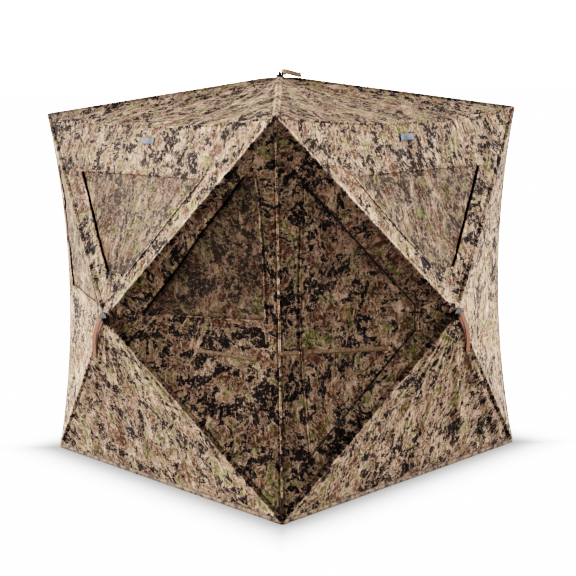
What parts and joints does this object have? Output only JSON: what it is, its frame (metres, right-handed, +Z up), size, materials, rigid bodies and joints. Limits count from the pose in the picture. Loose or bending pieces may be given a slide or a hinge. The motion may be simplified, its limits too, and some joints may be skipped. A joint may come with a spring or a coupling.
{
  "type": "pop up ground blind",
  "caption": "Square cloth hunting shelter whose hubbed walls and roof pop in and out, with a zipped door and drop-down window covers.",
  "frame": {"origin": "on the ground at the middle of the footprint", "axes": "+Z up; the front wall faces -Y and the wall with the door faces +X"},
  "size_m": [2.0924, 2.0924, 1.6964],
  "materials": {
    "camouflage_cloth": "matt woven polyester with a camouflage print",
    "window_cover_cloth": "matt woven polyester with a camouflage print, in shade",
    "door_cloth": "matt woven polyester with a camouflage print",
    "hem_tape": "woven binding tape",
    "fibreglass_rod": "smooth black glass fibre rod",
    "hub_plastic": "moulded black nylon",
    "brown_webbing": "woven webbing",
    "tan_webbing": "woven webbing",
    "slider_metal": "black painted metal"
  },
  "bodies": {
    "shelter": {"fabric_border": "camouflage_cloth", "ground_hem": "hem_tape"},
    "front_hub": {"front_hub": "hub_plastic"},
    "front_pole_bl": {"front_pole_bl": "fibreglass_rod"},
    "front_pole_br": {"front_pole_br": "fibreglass_rod"},
    "front_pole_tr": {"front_pole_tr": "fibreglass_rod"},
    "front_pole_tl": {"front_pole_tl": "fibreglass_rod"},
    "front_facet_top": {"front_facet_top": "camouflage_cloth"},
    "front_window_top": {"front_window_top": "window_cover_cloth"},
    "front_facet_bottom": {"front_facet_bottom": "camouflage_cloth"},
    "front_facet_left": {"front_facet_left": "camouflage_cloth"},
    "front_window_left": {"front_window_left": "window_cover_cloth"},
    "front_facet_right": {"front_facet_right": "camouflage_cloth"},
    "front_window_right": {"front_window_right": "window_cover_cloth"},
    "front_strap": {"front_strap": "brown_webbing"},
    "right_hub": {"right_hub": "hub_plastic"},
    "right_pole_bl": {"right_pole_bl": "fibreglass_rod"},
    "right_pole_br": {"right_pole_br": "fibreglass_rod"},
    "right_pole_tr": {"right_pole_tr": "fibreglass_rod"},
    "right_pole_tl": {"right_pole_tl": "fibreglass_rod"},
    "right_facet_top": {"right_facet_top": "camouflage_cloth"},
    "right_window_top": {"right_window_top": "window_cover_cloth"},
    "right_facet_bottom": {"right_facet_bottom": "camouflage_cloth"},
    "right_facet_left": {"right_facet_left": "camouflage_cloth"},
    "right_facet_right": {"right_facet_right": "camouflage_cloth"},
    "right_strap": {"right_strap": "brown_webbing"},
    "back_hub": {"back_hub": "hub_plastic"},
    "back_pole_bl": {"back_pole_bl": "fibreglass_rod"},
    "back_pole_br": {"back_pole_br": "fibreglass_rod"},
    "back_pole_tr": {"back_pole_tr": "fibreglass_rod"},
    "back_pole_tl": {"back_pole_tl": "fibreglass_rod"},
    "back_facet_top": {"back_facet_top": "camouflage_cloth"},
    "back_window_top": {"back_window_top": "window_cover_cloth"},
    "back_facet_bottom": {"back_facet_bottom": "camouflage_cloth"},
    "back_facet_left": {"back_facet_left": "camouflage_cloth"},
    "back_facet_right": {"back_facet_right": "camouflage_cloth"},
    "back_strap": {"back_strap": "brown_webbing"},
    "left_hub": {"left_hub": "hub_plastic"},
    "left_pole_bl": {"left_pole_bl": "fibreglass_rod"},
    "left_pole_br": {"left_pole_br": "fibreglass_rod"},
    "left_pole_tr": {"left_pole_tr": "fibreglass_rod"},
    "left_pole_tl": {"left_pole_tl": "fibreglass_rod"},
    "left_facet_top": {"left_facet_top": "camouflage_cloth"},
    "left_window_top": {"left_window_top": "window_cover_cloth"},
    "left_facet_bottom": {"left_facet_bottom": "camouflage_cloth"},
    "left_facet_left": {"left_facet_left": "camouflage_cloth"},
    "left_facet_right": {"left_facet_right": "camouflage_cloth"},
    "left_strap": {"left_strap": "brown_webbing"},
    "roof_hub": {"roof_hub": "hub_plastic"},
    "roof_pole_bl": {"roof_pole_bl": "fibreglass_rod"},
    "roof_pole_br": {"roof_pole_br": "fibreglass_rod"},
    "roof_pole_tr": {"roof_pole_tr": "fibreglass_rod"},
    "roof_pole_tl": {"roof_pole_tl": "fibreglass_rod"},
    "roof_facet_top": {"roof_facet_top": "camouflage_cloth"},
    "roof_facet_bottom": {"roof_facet_bottom": "camouflage_cloth"},
    "roof_facet_left": {"roof_facet_left": "camouflage_cloth"},
    "roof_facet_right": {"roof_facet_right": "camouflage_cloth"},
    "roof_strap": {"roof_strap": "tan_webbing"},
    "door_flap": {"door_flap": "door_cloth"},
    "door_slider": {"door_slider": "slider_metal"}
  },
  "joints": [
    {"name": "front_pop", "type": "slide", "parent": "shelter", "child": "front_hub", "axis": [0, 1, 0], "range_m": [0, 0.451]},
    {"name": "front_pole_bl_swing", "type": "hinge", "parent": "front_hub", "child": "front_pole_bl", "pos_m": [-0.02399, -0.95861, 0.70951], "axis": [-0.7087, 0, 0.7055], "range_deg": [0, 29.22]},
    {"name": "front_pole_br_swing", "type": "hinge", "parent": "front_hub", "child": "front_pole_br", "pos_m": [0.02399, -0.95861, 0.70951], "axis": [-0.7087, 0, -0.7055], "range_deg": [0, 29.22]},
    {"name": "front_pole_tr_swing", "type": "hinge", "parent": "front_hub", "child": "front_pole_tr", "pos_m": [0.02313, -0.95893, 0.75852], "axis": [0.7328, 0, -0.6805], "range_deg": [0, 28.17]},
    {"name": "front_pole_tl_swing", "type": "hinge", "parent": "front_hub", "child": "front_pole_tl", "pos_m": [-0.02313, -0.95893, 0.75852], "axis": [0.7328, 0, 0.6805], "range_deg": [0, 28.17]},
    {"name": "front_facet_top_fold", "type": "hinge", "parent": "shelter", "child": "front_facet_top", "pos_m": [0, -0.7579, 1.4336], "axis": [1, 0, 0], "range_deg": [0, 36.01]},
    {"name": "front_window_top_open", "type": "hinge", "parent": "front_facet_top", "child": "front_window_top", "pos_m": [0, -0.92782, 0.8931], "axis": [1, 0, 0], "range_deg": [-98, 0]},
    {"name": "front_facet_bottom_fold", "type": "hinge", "parent": "shelter", "child": "front_facet_bottom", "pos_m": [0, -0.7579, 0.0807], "axis": [-1, 0, 0], "range_deg": [0, 38.41]},
    {"name": "front_facet_left_fold", "type": "hinge", "parent": "shelter", "child": "front_facet_left", "pos_m": [-0.65, -0.7579, 0.7336], "axis": [0, 0, 1], "range_deg": [0, 38.57]},
    {"name": "front_window_left_open", "type": "hinge", "parent": "front_facet_left", "child": "front_window_left", "pos_m": [-0.38769, -0.84467, 0.7486], "axis": [0.9448, -0.3278, 0], "range_deg": [-160, 0]},
    {"name": "front_facet_right_fold", "type": "hinge", "parent": "shelter", "child": "front_facet_right", "pos_m": [0.65, -0.7579, 0.7336], "axis": [0, 0, -1], "range_deg": [0, 38.57]},
    {"name": "front_window_right_open", "type": "hinge", "parent": "front_facet_right", "child": "front_window_right", "pos_m": [0.38769, -0.84467, 0.7486], "axis": [0.9448, 0.3278, 0], "range_deg": [-160, 0]},
    {"name": "front_strap_swing", "type": "hinge", "parent": "front_hub", "child": "front_strap", "pos_m": [0, -0.9984, 0.7336], "axis": [-1, 0, 0], "range_deg": [0, 110]},
    {"name": "right_pop", "type": "slide", "parent": "shelter", "child": "right_hub", "axis": [-1, 0, 0], "range_m": [0, 0.451]},
    {"name": "right_pole_bl_swing", "type": "hinge", "parent": "right_hub", "child": "right_pole_bl", "pos_m": [0.95861, -0.02399, 0.70951], "axis": [0, -0.7087, 0.7055], "range_deg": [0, 29.22]},
    {"name": "right_pole_br_swing", "type": "hinge", "parent": "right_hub", "child": "right_pole_br", "pos_m": [0.95861, 0.02399, 0.70951], "axis": [0, -0.7087, -0.7055], "range_deg": [0, 29.22]},
    {"name": "right_pole_tr_swing", "type": "hinge", "parent": "right_hub", "child": "right_pole_tr", "pos_m": [0.95893, 0.02313, 0.75852], "axis": [0, 0.7328, -0.6805], "range_deg": [0, 28.17]},
    {"name": "right_pole_tl_swing", "type": "hinge", "parent": "right_hub", "child": "right_pole_tl", "pos_m": [0.95893, -0.02313, 0.75852], "axis": [0, 0.7328, 0.6805], "range_deg": [0, 28.17]},
    {"name": "right_facet_top_fold", "type": "hinge", "parent": "shelter", "child": "right_facet_top", "pos_m": [0.7579, 0, 1.4336], "axis": [0, 1, 0], "range_deg": [0, 36.01]},
    {"name": "right_window_top_open", "type": "hinge", "parent": "right_facet_top", "child": "right_window_top", "pos_m": [0.92782, 0, 0.8931], "axis": [0, -1, 0], "range_deg": [0, 98]},
    {"name": "right_facet_bottom_fold", "type": "hinge", "parent": "shelter", "child": "right_facet_bottom", "pos_m": [0.7579, 0, 0.0807], "axis": [0, -1, 0], "range_deg": [0, 38.41]},
    {"name": "right_facet_left_fold", "type": "hinge", "parent": "shelter", "child": "right_facet_left", "pos_m": [0.7579, -0.65, 0.7336], "axis": [0, 0, 1], "range_deg": [0, 38.57]},
    {"name": "right_facet_right_fold", "type": "hinge", "parent": "shelter", "child": "right_facet_right", "pos_m": [0.7579, 0.65, 0.7336], "axis": [0, 0, -1], "range_deg": [0, 38.57]},
    {"name": "right_strap_swing", "type": "hinge", "parent": "right_hub", "child": "right_strap", "pos_m": [0.9984, 0, 0.7336], "axis": [0, -1, 0], "range_deg": [0, 110]},
    {"name": "back_pop", "type": "slide", "parent": "shelter", "child": "back_hub", "axis": [0, -1, 0], "range_m": [0, 0.451]},
    {"name": "back_pole_bl_swing", "type": "hinge", "parent": "back_hub", "child": "back_pole_bl", "pos_m": [0.02399, 0.95861, 0.70951], "axis": [0.7087, 0, 0.7055], "range_deg": [0, 29.22]},
    {"name": "back_pole_br_swing", "type": "hinge", "parent": "back_hub", "child": "back_pole_br", "pos_m": [-0.02399, 0.95861, 0.70951], "axis": [0.7087, 0, -0.7055], "range_deg": [0, 29.22]},
    {"name": "back_pole_tr_swing", "type": "hinge", "parent": "back_hub", "child": "back_pole_tr", "pos_m": [-0.02313, 0.95893, 0.75852], "axis": [-0.7328, 0, -0.6805], "range_deg": [0, 28.17]},
    {"name": "back_pole_tl_swing", "type": "hinge", "parent": "back_hub", "child": "back_pole_tl", "pos_m": [0.02313, 0.95893, 0.75852], "axis": [-0.7328, 0, 0.6805], "range_deg": [0, 28.17]},
    {"name": "back_facet_top_fold", "type": "hinge", "parent": "shelter", "child": "back_facet_top", "pos_m": [0, 0.7579, 1.4336], "axis": [-1, 0, 0], "range_deg": [0, 36.01]},
    {"name": "back_window_top_open", "type": "hinge", "parent": "back_facet_top", "child": "back_window_top", "pos_m": [0, 0.92782, 0.8931], "axis": [-1, 0, 0], "range_deg": [-98, 0]},
    {"name": "back_facet_bottom_fold", "type": "hinge", "parent": "shelter", "child": "back_facet_bottom", "pos_m": [0, 0.7579, 0.0807], "axis": [1, 0, 0], "range_deg": [0, 38.41]},
    {"name": "back_facet_left_fold", "type": "hinge", "parent": "shelter", "child": "back_facet_left", "pos_m": [0.65, 0.7579, 0.7336], "axis": [0, 0, 1], "range_deg": [0, 38.57]},
    {"name": "back_facet_right_fold", "type": "hinge", "parent": "shelter", "child": "back_facet_right", "pos_m": [-0.65, 0.7579, 0.7336], "axis": [0, 0, -1], "range_deg": [0, 38.57]},
    {"name": "back_strap_swing", "type": "hinge", "parent": "back_hub", "child": "back_strap", "pos_m": [0, 0.9984, 0.7336], "axis": [1, 0, 0], "range_deg": [0, 110]},
    {"name": "left_pop", "type": "slide", "parent": "shelter", "child": "left_hub", "axis": [1, 0, 0], "range_m": [0, 0.451]},
    {"name": "left_pole_bl_swing", "type": "hinge", "parent": "left_hub", "child": "left_pole_bl", "pos_m": [-0.95861, 0.02399, 0.70951], "axis": [0, 0.7087, 0.7055], "range_deg": [0, 29.22]},
    {"name": "left_pole_br_swing", "type": "hinge", "parent": "left_hub", "child": "left_pole_br", "pos_m": [-0.95861, -0.02399, 0.70951], "axis": [0, 0.7087, -0.7055], "range_deg": [0, 29.22]},
    {"name": "left_pole_tr_swing", "type": "hinge", "parent": "left_hub", "child": "left_pole_tr", "pos_m": [-0.95893, -0.02313, 0.75852], "axis": [0, -0.7328, -0.6805], "range_deg": [0, 28.17]},
    {"name": "left_pole_tl_swing", "type": "hinge", "parent": "left_hub", "child": "left_pole_tl", "pos_m": [-0.95893, 0.02313, 0.75852], "axis": [0, -0.7328, 0.6805], "range_deg": [0, 28.17]},
    {"name": "left_facet_top_fold", "type": "hinge", "parent": "shelter", "child": "left_facet_top", "pos_m": [-0.7579, 0, 1.4336], "axis": [0, -1, 0], "range_deg": [0, 36.01]},
    {"name": "left_window_top_open", "type": "hinge", "parent": "left_facet_top", "child": "left_window_top", "pos_m": [-0.92782, 0, 0.8931], "axis": [0, 1, 0], "range_deg": [0, 98]},
    {"name": "left_facet_bottom_fold", "type": "hinge", "parent": "shelter", "child": "left_facet_bottom", "pos_m": [-0.7579, 0, 0.0807], "axis": [0, 1, 0], "range_deg": [0, 38.41]},
    {"name": "left_facet_left_fold", "type": "hinge", "parent": "shelter", "child": "left_facet_left", "pos_m": [-0.7579, 0.65, 0.7336], "axis": [0, 0, 1], "range_deg": [0, 38.57]},
    {"name": "left_facet_right_fold", "type": "hinge", "parent": "shelter", "child": "left_facet_right", "pos_m": [-0.7579, -0.65, 0.7336], "axis": [0, 0, -1], "range_deg": [0, 38.57]},
    {"name": "left_strap_swing", "type": "hinge", "parent": "left_hub", "child": "left_strap", "pos_m": [-0.9984, 0, 0.7336], "axis": [0, 1, 0], "range_deg": [0, 110]},
    {"name": "roof_pop", "type": "slide", "parent": "shelter", "child": "roof_hub", "axis": [0, 0, -1], "range_m": [0, 0.267]},
    {"name": "roof_pole_bl_swing", "type": "hinge", "parent": "roof_hub", "child": "roof_pole_bl", "pos_m": [-0.02404, -0.02404, 1.64886], "axis": [-0.7071, 0.7071, 0], "range_deg": [0, 17.79]},
    {"name": "roof_pole_br_swing", "type": "hinge", "parent": "roof_hub", "child": "roof_pole_br", "pos_m": [0.02404, -0.02404, 1.64886], "axis": [-0.7071, -0.7071, 0], "range_deg": [0, 17.79]},
    {"name": "roof_pole_tr_swing", "type": "hinge", "parent": "roof_hub", "child": "roof_pole_tr", "pos_m": [0.02404, 0.02404, 1.64886], "axis": [0.7071, -0.7071, 0], "range_deg": [0, 17.79]},
    {"name": "roof_pole_tl_swing", "type": "hinge", "parent": "roof_hub", "child": "roof_pole_tl", "pos_m": [-0.02404, 0.02404, 1.64886], "axis": [0.7071, 0.7071, 0], "range_deg": [0, 17.79]},
    {"name": "roof_facet_top_fold", "type": "hinge", "parent": "shelter", "child": "roof_facet_top", "pos_m": [0, 0.6455, 1.5365], "axis": [1, 0, 0], "range_deg": [0, 23.67]},
    {"name": "roof_facet_bottom_fold", "type": "hinge", "parent": "shelter", "child": "roof_facet_bottom", "pos_m": [0, -0.6455, 1.5365], "axis": [-1, 0, 0], "range_deg": [0, 23.67]},
    {"name": "roof_facet_left_fold", "type": "hinge", "parent": "shelter", "child": "roof_facet_left", "pos_m": [-0.6455, 0, 1.5365], "axis": [0, 1, 0], "range_deg": [0, 23.67]},
    {"name": "roof_facet_right_fold", "type": "hinge", "parent": "shelter", "child": "roof_facet_right", "pos_m": [0.6455, 0, 1.5365], "axis": [0, -1, 0], "range_deg": [0, 23.67]},
    {"name": "roof_strap_swing", "type": "hinge", "parent": "roof_hub", "child": "roof_strap", "pos_m": [0, 0, 1.685], "axis": [0.7071, -0.7071, 0], "range_deg": [0, 140]},
    {"name": "door_open", "type": "hinge", "parent": "right_facet_left", "child": "door_flap", "pos_m": [0.77421, -0.603, 0.7336], "axis": [0, 0, -1], "range_deg": [0, 110]},
    {"name": "door_zip", "type": "slide", "parent": "right_facet_left", "child": "door_slider", "axis": [-0.2265, -0.6528, 0.7229], "range_m": [0, 0.601]}
  ],
  "couplings": [
    {"joint": "front_pole_bl_swing", "follows": "front_pop", "rad_per_m": 1.1191},
    {"joint": "front_pole_br_swing", "follows": "front_pop", "rad_per_m": 1.1191},
    {"joint": "front_pole_tr_swing", "follows": "front_pop", "rad_per_m": 1.0787},
    {"joint": "front_pole_tl_swing", "follows": "front_pop", "rad_per_m": 1.0787},
    {"joint": "front_facet_top_fold", "follows": "front_pop", "rad_per_m": 1.382},
    {"joint": "front_facet_bottom_fold", "follows": "front_pop", "rad_per_m": 1.4747},
    {"joint": "front_facet_left_fold", "follows": "front_pop", "rad_per_m": 1.4808},
    {"joint": "front_facet_right_fold", "follows": "front_pop", "rad_per_m": 1.4808},
    {"joint": "right_pole_bl_swing", "follows": "right_pop", "rad_per_m": 1.1191},
    {"joint": "right_pole_br_swing", "follows": "right_pop", "rad_per_m": 1.1191},
    {"joint": "right_pole_tr_swing", "follows": "right_pop", "rad_per_m": 1.0787},
    {"joint": "right_pole_tl_swing", "follows": "right_pop", "rad_per_m": 1.0787},
    {"joint": "right_facet_top_fold", "follows": "right_pop", "rad_per_m": 1.382},
    {"joint": "right_facet_bottom_fold", "follows": "right_pop", "rad_per_m": 1.4747},
    {"joint": "right_facet_left_fold", "follows": "right_pop", "rad_per_m": 1.4808},
    {"joint": "right_facet_right_fold", "follows": "right_pop", "rad_per_m": 1.4808},
    {"joint": "back_pole_bl_swing", "follows": "back_pop", "rad_per_m": 1.1191},
    {"joint": "back_pole_br_swing", "follows": "back_pop", "rad_per_m": 1.1191},
    {"joint": "back_pole_tr_swing", "follows": "back_pop", "rad_per_m": 1.0787},
    {"joint": "back_pole_tl_swing", "follows": "back_pop", "rad_per_m": 1.0787},
    {"joint": "back_facet_top_fold", "follows": "back_pop", "rad_per_m": 1.382},
    {"joint": "back_facet_bottom_fold", "follows": "back_pop", "rad_per_m": 1.4747},
    {"joint": "back_facet_left_fold", "follows": "back_pop", "rad_per_m": 1.4808},
    {"joint": "back_facet_right_fold", "follows": "back_pop", "rad_per_m": 1.4808},
    {"joint": "left_pole_bl_swing", "follows": "left_pop", "rad_per_m": 1.1191},
    {"joint": "left_pole_br_swing", "follows": "left_pop", "rad_per_m": 1.1191},
    {"joint": "left_pole_tr_swing", "follows": "left_pop", "rad_per_m": 1.0787},
    {"joint": "left_pole_tl_swing", "follows": "left_pop", "rad_per_m": 1.0787},
    {"joint": "left_facet_top_fold", "follows": "left_pop", "rad_per_m": 1.382},
    {"joint": "left_facet_bottom_fold", "follows": "left_pop", "rad_per_m": 1.4747},
    {"joint": "left_facet_left_fold", "follows": "left_pop", "rad_per_m": 1.4808},
    {"joint": "left_facet_right_fold", "follows": "left_pop", "rad_per_m": 1.4808},
    {"joint": "roof_pole_bl_swing", "follows": "roof_pop", "rad_per_m": 1.1433},
    {"joint": "roof_pole_br_swing", "follows": "roof_pop", "rad_per_m": 1.1433},
    {"joint": "roof_pole_tr_swing", "follows": "roof_pop", "rad_per_m": 1.1433},
    {"joint": "roof_pole_tl_swing", "follows": "roof_pop", "rad_per_m": 1.1433},
    {"joint": "roof_facet_top_fold", "follows": "roof_pop", "rad_per_m": 1.5276},
    {"joint": "roof_facet_bottom_fold", "follows": "roof_pop", "rad_per_m": 1.5276},
    {"joint": "roof_facet_left_fold", "follows": "roof_pop", "rad_per_m": 1.5276},
    {"joint": "roof_facet_right_fold", "follows": "roof_pop", "rad_per_m": 1.5276}
  ]
}
